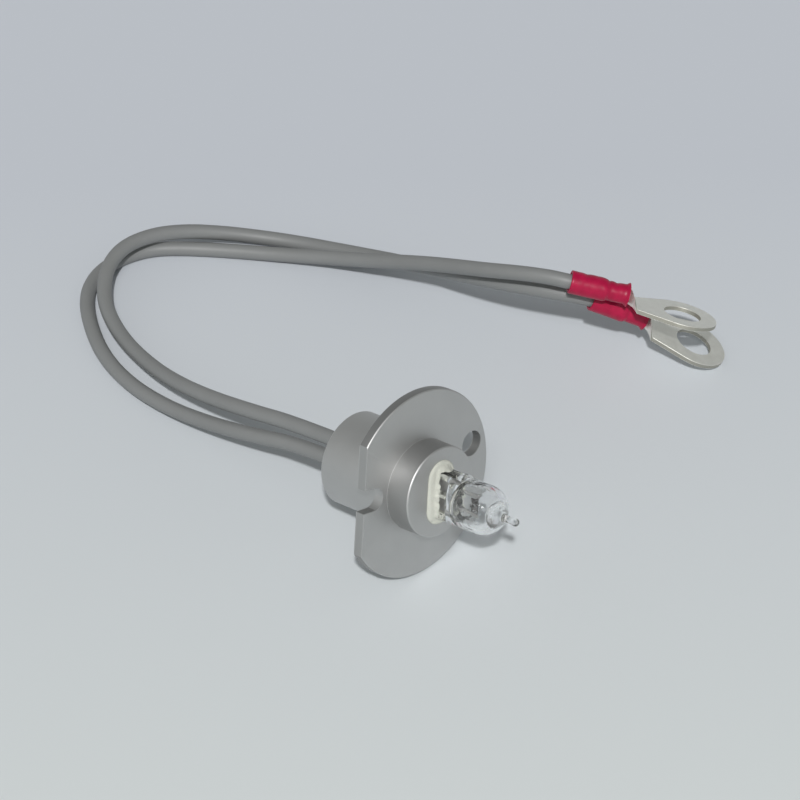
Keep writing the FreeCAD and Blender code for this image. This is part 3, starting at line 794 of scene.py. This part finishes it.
def envelope_skin(scene):
    """The quartz envelope: pressed seal, blown bulb, drawn-off tip and gas space, upright."""
    size = scene.lamp_bulb
    bulb = size.bulb_diameter / 2
    width = size.pinch_width / 2
    thick = size.pinch_thickness / 2
    web = size.pinch_web / size.pinch_thickness

    def shape(around, height, half_y, half_z, power, grooved):
        """A point of the outside. The seal is grooved between its rims."""
        rim_share, groove_side = 0.80, 0.16
        y, z = superellipse(around, half_y, half_z, power)
        inside = smooth_step((rim_share - abs(z) / half_z) / groove_side)
        return Vector((height, y * (1 - grooved * (1 - web) * inside), z))

    top = size.pinch_top
    rings = [  # height, half thickness, half width, squareness, groove
        (size.pinch_base, thick - 0.0003, width - 0.0003, 5.0, 0.0),
        (size.pinch_base + 0.0003, thick, width, 6.0, 0.6),
        (size.pinch_base + 0.0009, thick, width, 6.0, 1.0),
        (top - 0.0008, thick, width, 6.0, 1.0),
        (top - 0.0002, thick * 1.02, width, 6.0, 0.9),
        (top + 0.0003, thick * 1.12, width * 1.01, 5.6, 0.5),
        (top + 0.0007, thick * 1.38, width * 1.01, 4.6, 0.15),
    ]
    shoulder = ((0.0, 0.72, 3.6), (0.25, 0.86, 2.9), (0.55, 0.955, 2.3), (0.8, 0.99, 2.05))
    for share, grow, power in shoulder:
        half_z = bulb * (1 + 0.01 * (1 - share))
        rings.append((top + 0.0010 + 0.0016 * share, bulb * grow, half_z, power, 0.0))
    rings.append((top + 0.0030, bulb, bulb, 2.0, 0.0))
    rings.append((size.dome_height - 0.0015, bulb, bulb, 2.0, 0.0))
    tip_root = 0.0016
    for step in range(13):
        along = math.radians(6.0 * step)
        radius = bulb * math.cos(along)
        if radius > tip_root:
            rings.append((size.dome_height + bulb * math.sin(along), radius, radius, 2.0, 0.0))
    crown = size.dome_height + bulb
    neck = size.tip_radius
    bead = neck * 1.13
    tip = [  # height, radius
        (crown - 0.00022, 0.00128),
        (crown - 0.00002, 0.00100),
        (crown + 0.00022, 0.00080),
        (crown + 0.00055, 0.00065),
        (crown + 0.00100, neck * 1.04),
        (crown + 0.00160, neck),
        (size.tip_height - 0.00125, neck * 0.98),
        (size.tip_height - 0.00085, bead),
        (size.tip_height - 0.00050, bead),
        (size.tip_height - 0.00022, bead * 0.82),
        (size.tip_height - 0.00006, bead * 0.48),
        (size.tip_height, bead * 0.14),
    ]
    rings += [(height, radius, radius, 2.0, 0.0) for height, radius in tip]
    bm = ring_skin(rings, 96, shape)
    close_ends(bm)
    space = bulb - size.wall
    outline = [(size.cavity_floor, 0), (size.cavity_floor, space * 0.35)]
    corner = 0.0016
    for step in range(7):
        along = math.radians(15.0 * step)
        outline.append((size.cavity_floor + corner * (1 - math.cos(along)),
                        space - corner * (1 - math.sin(along))))
    outline.append((size.dome_height, space))
    reach = space - size.dome_thickening
    for step in range(1, 9):
        along = math.radians(6.0 * step)
        outline.append((size.dome_height + reach * math.sin(along), space * math.cos(along)))
    top = size.dome_height + reach * 0.80
    outline += [  # the dimple under the tip
        (top, 0.00196),
        (top - 0.00005, 0.00179),
        (top - 0.00028, 0.00160),
        (top - 0.00056, 0.00134),
        (top - 0.00078, 0.00098),
        (top - 0.00090, 0.00052),
        (top - 0.00093, 0),
    ]
    inner = turned(outline, 96)
    bmesh.ops.reverse_faces(inner, faces=inner.faces)
    spare = bpy.data.meshes.new("gas_space")
    inner.to_mesh(spare)
    inner.free()
    bm.from_mesh(spare)
    bpy.data.meshes.remove(spare)
    return bm


def cement_skin(scene):
    """The cement: an oblong crown that creeps up the glass in a ragged edge, and the cup round the seal."""
    size = scene.lamp_holder
    bulb = scene.lamp_bulb
    face = size.spigot_length
    floor = face - size.pocket_depth
    half_y, half_z = size.pocket_width / 2, size.pocket_length / 2
    bite = 0.00003
    glass = (bulb.pinch_thickness / 2 - bite, bulb.pinch_width / 2 - bite)
    climb, climb_from = 0.0008, 0.72

    def outline(around, spread):
        """A point between the seal's outline, at a spread of 0, and the pocket's, at 1."""
        side, up = math.sin(around), math.cos(around)
        reach = half_z - half_y
        oblong_y, oblong_z = side * half_y, up * half_y + math.copysign(reach, up) * smooth_step(abs(up) * 3)
        glass_y, glass_z = superellipse(around, *glass, 6.0)
        left = 1 - spread
        return oblong_y * spread + glass_y * left, oblong_z * spread + glass_z * left

    def shape(around, height, spread, rough):
        """A point of the skin, roughened, and raised where the cement climbs at the seal's upper rim."""
        y, z = outline(around, spread)
        seed = Vector((y * 900, z * 900, height * 500))
        lift = noise.fractal(seed, 0.8, 2.1, 5) * rough
        drift = noise.fractal(seed * 1.7 + Vector((31, 7, 3)), 1.0, 2.0, 3) * rough * 0.7
        grow = 1 + drift / max(0.001, math.hypot(y, z))
        if rough > 0.0001:
            upper = smooth_step((math.cos(around) - climb_from) / (1 - climb_from))
            lift += climb * upper * max(0.0, 1 - 2.2 * spread)
        return Vector((height + lift, y * grow, z * grow))

    rings = [  # height, spread, roughness
        (floor, 0.995, 0.0),
        (face - 0.0003, 0.995, 0.0),
        (face - 0.00002, 1.0, 0.00003),
        (face + 0.00012, 0.985, 0.00012),
        (face + 0.00026, 0.93, 0.00014),
        (face + 0.00038, 0.84, 0.00014),
        (face + 0.00045, 0.72, 0.00013),
        (face + 0.00048, 0.58, 0.00013),
        (face + 0.00051, 0.44, 0.00014),
        (face + 0.00056, 0.30, 0.00015),
        (face + 0.00066, 0.17, 0.00022),
        (face + 0.00088, 0.08, 0.00034),
        (face + 0.00112, 0.02, 0.00046),
        (face + 0.00126, 0.00, 0.00050),
        (face - 0.0003, -0.01, 0.0),
        (bulb.pinch_base - 0.00005, -0.01, 0.0),
    ]
    bm = ring_skin(rings, 144, shape)
    close_ends(bm)
    return bm


def end_frame(points, roll, leads):
    """The place of a terminal's ring, which goes on from its lead's last run."""
    ahead = (points[-1] - points[-2]).normalized()
    level = Vector((-ahead.y, ahead.x, 0)).normalized()
    across = level * math.cos(roll) + ahead.cross(level) * math.sin(roll)
    normal = ahead.cross(across)
    mouth = leads.sleeve_start + leads.sleeve_length - leads.wire_in_sleeve
    centre = points[-1] + ahead * mouth - normal * leads.crimp_axis
    frame = Matrix((ahead, across, normal)).transposed().to_4x4()
    frame.translation = centre
    return frame


def lead_points(scene, side, straight, route):
    """A lead's control points: its exit, the end of its straight stretch and the route."""
    rear = barrel_end(scene)
    turn = laid_bulb(scene)
    lying = table_level(scene) + scene.lamp_leads.wire_diameter / 2
    points = [turn @ Vector((rear, 0, side)), turn @ Vector((rear - straight, 0, side))]
    return points + [Vector((x / 1000, y / 1000, lying + rise / 1000)) for x, y, rise in route]


def round_curve(name, diameter, sides, steps):
    """An empty curve that gives its runs a round section and closed ends."""
    curve = bpy.data.curves.new(name, "CURVE")
    curve.dimensions = "3D"
    curve.bevel_depth = diameter / 2
    curve.bevel_resolution = sides
    curve.resolution_u = steps
    curve.use_fill_caps = True
    return curve


def add_run(curve, points):
    """Adds a smooth run through the given control points."""
    spline = curve.splines.new("NURBS")
    spline.points.add(len(points) - 1)
    for control, point in zip(spline.points, points):
        control.co = (*point, 1)
    spline.order_u = 3
    spline.use_endpoint_u = True


def sleeve_skin(scene):
    """One insulating sleeve, with the dents that the crimping tool left, along its terminal's X axis."""
    leads = scene.lamp_leads
    grip = leads.conductor_diameter / 2 + leads.crimp_wall
    wide = leads.sleeve_diameter / 2
    bore = leads.sleeve_bore / 2
    rear = -(leads.sleeve_start + leads.sleeve_length)
    front = -leads.sleeve_start
    narrow = grip + leads.sleeve_wall
    dents = ((-0.0122, 0.00016), (-0.0139, 0.00016), (-0.0176, 0.00012))
    dent_width, wrinkle_height = 0.00048, 0.00004
    wide_end = rear + leads.sleeve_wide_length
    crimp_rear = -(leads.crimp_start + leads.crimp_length)
    outline = [
        (crimp_rear - 0.0005, bore),
        (rear + 0.0001, bore),
        (rear, bore + 0.0001),
        (rear, wide - 0.00014),
        (rear + 0.00005, wide - 0.00004),
        (rear + 0.00016, wide),
    ]
    steps = 16
    for step in range(1, steps + 1):
        outline.append((rear + (wide_end - rear) * step / steps, wide))
    outline += [
        (wide_end + 0.00018, wide - 0.00006),
        (wide_end + 0.00042, narrow + 0.00006),
        (wide_end + 0.0006, narrow),
    ]
    start, end = wide_end + 0.0006, front - 0.0008
    steps = 10
    for step in range(1, steps + 1):
        outline.append((start + (end - start) * step / steps, narrow))
    lip = narrow + leads.sleeve_lip
    outline += [
        (front - 0.00046, narrow + leads.sleeve_lip * 0.22),
        (front - 0.00026, narrow + leads.sleeve_lip * 0.66),
        (front - 0.00012, lip),
        (front - 0.00002, lip + 0.00003),
        (front, lip - 0.00006),
        (front - 0.00006, lip - 0.00016),
        (front - 0.00030, narrow - leads.sleeve_wall * 0.25),
        (front - 0.00060, narrow - leads.sleeve_wall * 0.60),
        (front - 0.0010, grip),
        (crimp_rear, grip),
        (crimp_rear - 0.0005, bore),
    ]
    bm = turned(outline, 64)
    for vert in bm.verts:
        x, y, z = vert.co
        out = math.hypot(y, z)
        if out < (grip + narrow) / 2:
            continue
        around = math.atan2(y, z)
        dent = 0.0
        for place, depth in dents:
            across = math.exp(-((x - place) / dent_width) ** 2)
            dent += depth * across * max(0.0, math.cos(around)) ** 2
        wrinkle = wrinkle_height * noise.noise(Vector((x * 1600, y * 700, z * 700)))
        grow = 1 + (wrinkle - dent) / out
        vert.co = (x, y * grow, z * grow)
    bmesh.ops.translate(bm, verts=bm.verts, vec=(0, 0, leads.crimp_axis))
    return bm


def strand_bundle(curve, frame, start, end, strand, rng):
    """Adds a lightly twisted bundle of strands of a radius between two places along a frame's X axis."""
    rings = ((0, 1), (2.05 * strand, 6), (4.0 * strand, 12))
    most_short, twist, steps = 0.00025, 0.9, 5
    for out, count in rings:
        for number in range(count):
            short = rng.uniform(0.0, most_short)
            points = []
            for step in range(steps + 1):
                share = step / steps
                around = 2 * math.pi * number / count + twist * share
                x = start + (end - short - start) * share
                points.append(frame @ Vector((x, out * math.cos(around), out * math.sin(around))))
            add_run(curve, points)


def grown_row(bm, edges, verts):
    """Extrudes an open chain of edges. Returns the new edges and points in the chain's order."""
    grown = bmesh.ops.extrude_edge_only(bm, edges=edges)["geom"]
    row = followers(verts, set(points_of(grown)))
    return chain(row), row


def terminal_skin(scene):
    """One ring terminal: a flat blank of sheet, broken at the edges and rolled up at its end."""
    sides = 120
    leads = scene.lamp_leads
    outer = leads.ring_diameter / 2
    half = leads.neck_width / 2
    reach = leads.crimp_start
    touch = math.pi - math.atan2(half, reach) - math.acos(outer / math.hypot(reach, half))
    crimp_radius = (leads.conductor_diameter + leads.crimp_wall) / 2
    rolled_half = crimp_radius * (math.pi - leads.seam / 2)
    side = outer * math.sin(touch)
    end_half = half + (side - half) * (reach - leads.neck_end) / (reach + outer * math.cos(touch))
    bm = bmesh.new()
    ring = bmesh.ops.create_circle(bm, cap_ends=False, segments=sides, radius=outer)["verts"]
    bmesh.ops.create_circle(bm, cap_ends=False, segments=sides, radius=leads.ring_hole / 2)
    bmesh.ops.bridge_loops(bm, edges=bm.edges[:])
    past_touch = 0.00012
    rear = [vert for vert in ring if vert.co.x <= outer * math.cos(touch) + past_touch]
    rear.sort(key=lambda vert: vert.co.y)
    edges = chain(rear)
    shares = [2 * number / (len(rear) - 1) - 1 for number in range(len(rear))]
    row = rear
    curl_steps, crimp_steps = 14, 5
    rows = [(leads.neck_end, end_half)]
    for step in range(1, curl_steps + 1):
        share = step / curl_steps
        rows.append((leads.neck_end + share * (reach - leads.neck_end),
                     end_half + share * (rolled_half - end_half)))
    for step in range(1, crimp_steps + 1):
        rows.append((reach + leads.crimp_length * step / crimp_steps, rolled_half))
    for place, half_strip in rows:
        edges, row = grown_row(bm, edges, row)
        for vert, share in zip(row, shares):
            vert.co = (-place, share * half_strip, 0)
    bmesh.ops.translate(bm, verts=bm.verts, vec=(0, 0, -leads.sheet / 2))
    top = bmesh.ops.extrude_face_region(bm, geom=bm.faces[:])["geom"]
    bmesh.ops.translate(bm, verts=points_of(top), vec=(0, 0, leads.sheet))
    bmesh.ops.recalc_face_normals(bm, faces=bm.faces)
    rounded(bm, sharp_edges(bm, 60), leads.sheet_break, 3, False)
    # Marks the plate's edge faces, which get painted shade in the tin plate's colour.
    cut = bm.verts.layers.float.new("painted_edge_shade")
    edge_half = 0.51 * leads.sheet - leads.sheet_break
    for vert in bm.verts:
        vert[cut] = float(abs(vert.co.z) < edge_half)
    crimp_bottom = leads.crimp_axis - leads.conductor_diameter / 2 - leads.crimp_wall
    least_curl = 0.0005
    for vert in bm.verts:
        x, strip, z = vert.co
        share = max(0.0, min(1.0, (-x - leads.neck_end) / (reach - leads.neck_end)))
        if share <= 0:
            continue
        eased = smooth_step(share)
        wall = leads.sheet + eased * (leads.crimp_wall - leads.sheet)
        middle = -leads.sheet / 2 + eased * (crimp_bottom + leads.sheet / 2) + wall / 2
        radius = crimp_radius / max(eased, least_curl)
        out = radius - z * wall / leads.sheet
        vert.co = (x, out * math.sin(strip / radius), middle + radius - out * math.cos(strip / radius))
    return bm


# Operators


class LAMP_OT_stage(bpy.types.Operator):
    """Lays the table, sets the light and places the camera."""
    bl_idname = "lamp.stage"
    bl_label = "Stage"

    def execute(self, context):
        scene = context.scene
        scene.view_settings.view_transform = "Standard"
        self.place_camera(scene)
        self.lay_table(scene)
        self.set_light(scene)
        return {"FINISHED"}

    def view_axes(self, scene):
        """The directions to the camera, to its right and up."""
        pose = scene.lamp_pose
        back = Vector((
            math.sin(pose.azimuth) * math.cos(pose.elevation),
            -math.cos(pose.azimuth) * math.cos(pose.elevation),
            math.sin(pose.elevation)))
        right = Vector((math.cos(pose.azimuth), math.sin(pose.azimuth), 0))
        return back, right, back.cross(right)

    def place_camera(self, scene):
        pose = scene.lamp_pose
        back, right, up = self.view_axes(scene)
        data = bpy.data.cameras.new("camera")
        data.lens = pose.lens
        data.sensor_width = 36.0
        data.clip_start = 0.01
        data.clip_end = 20.0
        camera = bpy.data.objects.new("camera", data)
        turn = Matrix((right, up, back)).transposed().to_4x4()
        turn.translation = back * pose.distance + right * pose.view_right + up * pose.view_up
        camera.matrix_world = turn
        scene.collection.objects.link(camera)
        scene.camera = camera

    def lay_table(self, scene):
        bm = bmesh.new()
        half_width = 6.0
        bmesh.ops.create_grid(bm, x_segments=1, y_segments=1, size=half_width)
        bmesh.ops.translate(bm, verts=bm.verts, vec=(0, 0, table_level(scene)))
        mesh = bpy.data.meshes.new("table_top")
        bm.to_mesh(mesh)
        bm.free()
        table = bpy.data.objects.new("table_top", mesh)
        table.data.materials.append(table_top(scene))
        scene.collection.objects.link(table)

    def set_light(self, scene):
        back, right, up = self.view_axes(scene)
        scene.world = soft_room()
        lights = (  # name, direction, strength, spread in degrees
            ("key", back * 0.992 + up * 0.122, 2.25, 2.4),
            ("soft_key", back * 0.98 + up * 0.2 - right * 0.1, 0.25, 9.0),
        )
        for name, towards, strength, spread in lights:
            data = bpy.data.lights.new(name, "SUN")
            data.energy = strength
            data.angle = math.radians(spread)
            lamp = bpy.data.objects.new(name, data)
            lamp.rotation_mode = "QUATERNION"
            lamp.rotation_quaternion = (-Vector(towards)).to_track_quat("-Z", "Y")
            scene.collection.objects.link(lamp)


class LAMP_OT_leads(bpy.types.Operator):
    """Lays the two grey leads and puts a ring terminal with its sleeve on each."""
    bl_idname = "lamp.leads"
    bl_label = "Leads and terminals"

    def execute(self, context):
        scene = context.scene
        leads = scene.lamp_leads
        half = scene.lamp_bulb.pin_spacing / 2
        finishes = {
            "jacket": grey_jacket(scene),
            "sleeve": red_vinyl(scene),
            "strand": drawn_metal("tinned_strand", scene.lamp_colours.strand, 0.35),
            "terminal": tin_plate(scene),
        }
        rows = (
            ("a", half, leads.straight_a, ROUTE_A, leads.roll_a, leads.length_a),
            ("b", -half, leads.straight_b, ROUTE_B, leads.roll_b, leads.length_b),
        )
        for mark, side, straight, route, roll, free in rows:
            points = lead_points(scene, side, straight, route)
            name = "lead_" + mark
            curve = round_curve(name, leads.wire_diameter, 8, 14)
            add_run(curve, points)
            lead = set_up(
                bpy.data.objects.new(name, curve), finishes["jacket"], "wire_" + mark)
            frame = end_frame(points, roll, leads)
            on_lead = self.dress_end(scene, mark, side, frame, finishes)
            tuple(points[0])
        return {"FINISHED"}

    def dress_end(self, scene, mark, side, frame, finishes):
        """The strands, the terminal and the sleeve at one lead's end."""
        leads = scene.lamp_leads
        strand = leads.conductor_diameter / 10
        bm = sleeve_skin(scene)
        bm.transform(frame)
        sleeve = piece(
            "sleeve_" + mark, bm, finishes["sleeve"], 50.0, "terminal_sleeve_" + mark)
        rng = random.Random({"a": 11, "b": 12}[mark])
        curve = round_curve("strands_" + mark, 2 * strand, 2, 3)
        mouth = leads.sleeve_start + leads.sleeve_length - leads.wire_in_sleeve
        lifted = frame @ Matrix.Translation((0, 0, leads.crimp_axis))
        strand_bundle(curve, lifted, -mouth, leads.conductor_stub - leads.crimp_start, strand, rng)
        inner = laid_bulb(scene) @ Matrix.Translation((0, 0, side))
        start = barrel_end(scene) + leads.jacket_inside
        strand_bundle(curve, inner, start, start + leads.strip_length, strand, rng)
        strands = set_up(
            bpy.data.objects.new("strands_" + mark, curve), finishes["strand"],
            "conductor_" + mark)
        bm = terminal_skin(scene)
        bm.transform(frame)
        ring = piece(
            "ring_terminal_" + mark, bm, finishes["terminal"], 14.0, "terminal_" + mark)
        return [sleeve, strands, ring]


class LAMP_OT_holder(bpy.types.Operator):
    """Turns the aluminium holder."""
    bl_idname = "lamp.holder"
    bl_label = "Holder"

    def execute(self, context):
        scene = context.scene
        bm = holder_skin(scene)
        bm.transform(laid(scene))
        piece("holder", bm, turned_aluminium(scene), 20.0, "holder_body")
        return {"FINISHED"}


class LAMP_OT_cement(bpy.types.Operator):
    """Sets the bulb's cement."""
    bl_idname = "lamp.cement"
    bl_label = "Cement"

    def execute(self, context):
        scene = context.scene
        bm = cement_skin(scene)
        bm.transform(laid_bulb(scene))
        finish = cast_cement("ceramic_cement", scene.lamp_colours.cement)
        piece("cement", bm, finish, 60.0, "cement_potting")
        return {"FINISHED"}


class LAMP_OT_envelope(bpy.types.Operator):
    """Blows and presses the quartz envelope."""
    bl_idname = "lamp.envelope"
    bl_label = "Quartz envelope"

    def execute(self, context):
        scene = context.scene
        bm = envelope_skin(scene)
        bm.transform(laid_bulb(scene))
        piece("quartz_envelope", bm, clear_quartz(scene), 70.0, "glass_envelope")
        return {"FINISHED"}


class LAMP_OT_filament(bpy.types.Operator):
    """Winds the filament."""
    bl_idname = "lamp.filament"
    bl_label = "Filament"

    def execute(self, context):
        scene = context.scene
        size = scene.lamp_bulb
        run = size.coil_pitch * size.coil_turns
        turn = laid_bulb(scene)
        aside = size.coil_offset
        curve = round_curve("filament", size.coil_wire, 3, 6)
        points = [Vector((size.coil_height + size.coil_radius, aside, -size.pin_spacing / 2))]
        to_a_turn = 10
        count = size.coil_turns * to_a_turn
        for step in range(count + 1):
            around = 2 * math.pi * step / to_a_turn
            points.append(Vector((
                size.coil_height + size.coil_radius * math.cos(around),
                aside + size.coil_radius * math.sin(around),
                -run / 2 + run * step / count)))
        points.append(Vector((size.coil_height + size.coil_radius, aside, size.pin_spacing / 2)))
        add_run(curve, [turn @ point for point in points])
        finish = drawn_metal("tungsten", scene.lamp_colours.tungsten, 0.4)
        set_up(bpy.data.objects.new("filament", curve), finish, "filament_coil")
        return {"FINISHED"}


class LAMP_OT_inner(bpy.types.Operator):
    """Dresses the pieces that are sealed in the bulb or closed in the barrel."""
    bl_idname = "lamp.inner"
    bl_label = "Inner pieces"

    def execute(self, context):
        scene = context.scene
        tint = scene.lamp_colours
        molybdenum = drawn_metal("molybdenum", tint.foil, 0.5, 3000.0)
        nickel = drawn_metal("nickel", tint.nickel, 0.4)
        brass = drawn_metal("splice_brass", tint.splice, 0.45)
        fibre = braided_fibre(scene)
        potting = cast_cement("rear_potting", tint.potting)
        dress = {
            "foil_": molybdenum,
            "filament_post_": molybdenum,
            "pin_": nickel,
            "splice_sleeve_": fibre,
            "splice_": brass,
        }
        for stem, finish in dress.items():
            for mark in "ab":
                self.paint(stem + mark, finish)
        self.paint("rear_plug", potting)
        return {"FINISHED"}

    def paint(self, node, finish):
        mesh = NODES[node].data
        if mesh.materials:
            for number in range(len(mesh.materials)):
                mesh.materials[number] = finish
        else:
            mesh.materials.append(finish)


OPERATORS = (
    LAMP_OT_stage,
    LAMP_OT_leads,
    LAMP_OT_holder,
    LAMP_OT_cement,
    LAMP_OT_envelope,
    LAMP_OT_filament,
    LAMP_OT_inner,
)


class LAMP_PT_panel(bpy.types.Panel):
    """Lists the lamp's sizes, its colours and the operators that build it."""
    bl_idname = "LAMP_PT_panel"
    bl_label = "Analyzer lamp"
    bl_space_type = "VIEW_3D"
    bl_region_type = "UI"
    bl_category = "Lamp"

    def draw(self, context):
        layout = self.layout
        for attribute, group in GROUPS.items():
            box = layout.box()
            box.label(text=group.__doc__)
            for name in group.__annotations__:
                box.prop(getattr(context.scene, attribute), name)
        for operator in OPERATORS:
            layout.operator(operator.bl_idname)


CLASSES = (*GROUPS.values(), *OPERATORS, LAMP_PT_panel)


def register():
    for item in CLASSES:
        bpy.utils.register_class(item)
    for attribute, group in GROUPS.items():
        setattr(bpy.types.Scene, attribute, PointerProperty(type=group))


def unregister():
    for attribute in GROUPS:
        delattr(bpy.types.Scene, attribute)
    for item in reversed(CLASSES):
        bpy.utils.unregister_class(item)


def main():
    """Builds the whole scene."""
    register()
    for operator in OPERATORS:
        getattr(bpy.ops.lamp, operator.bl_idname.split(".")[1])()


if __name__ == "__main__":
    main()
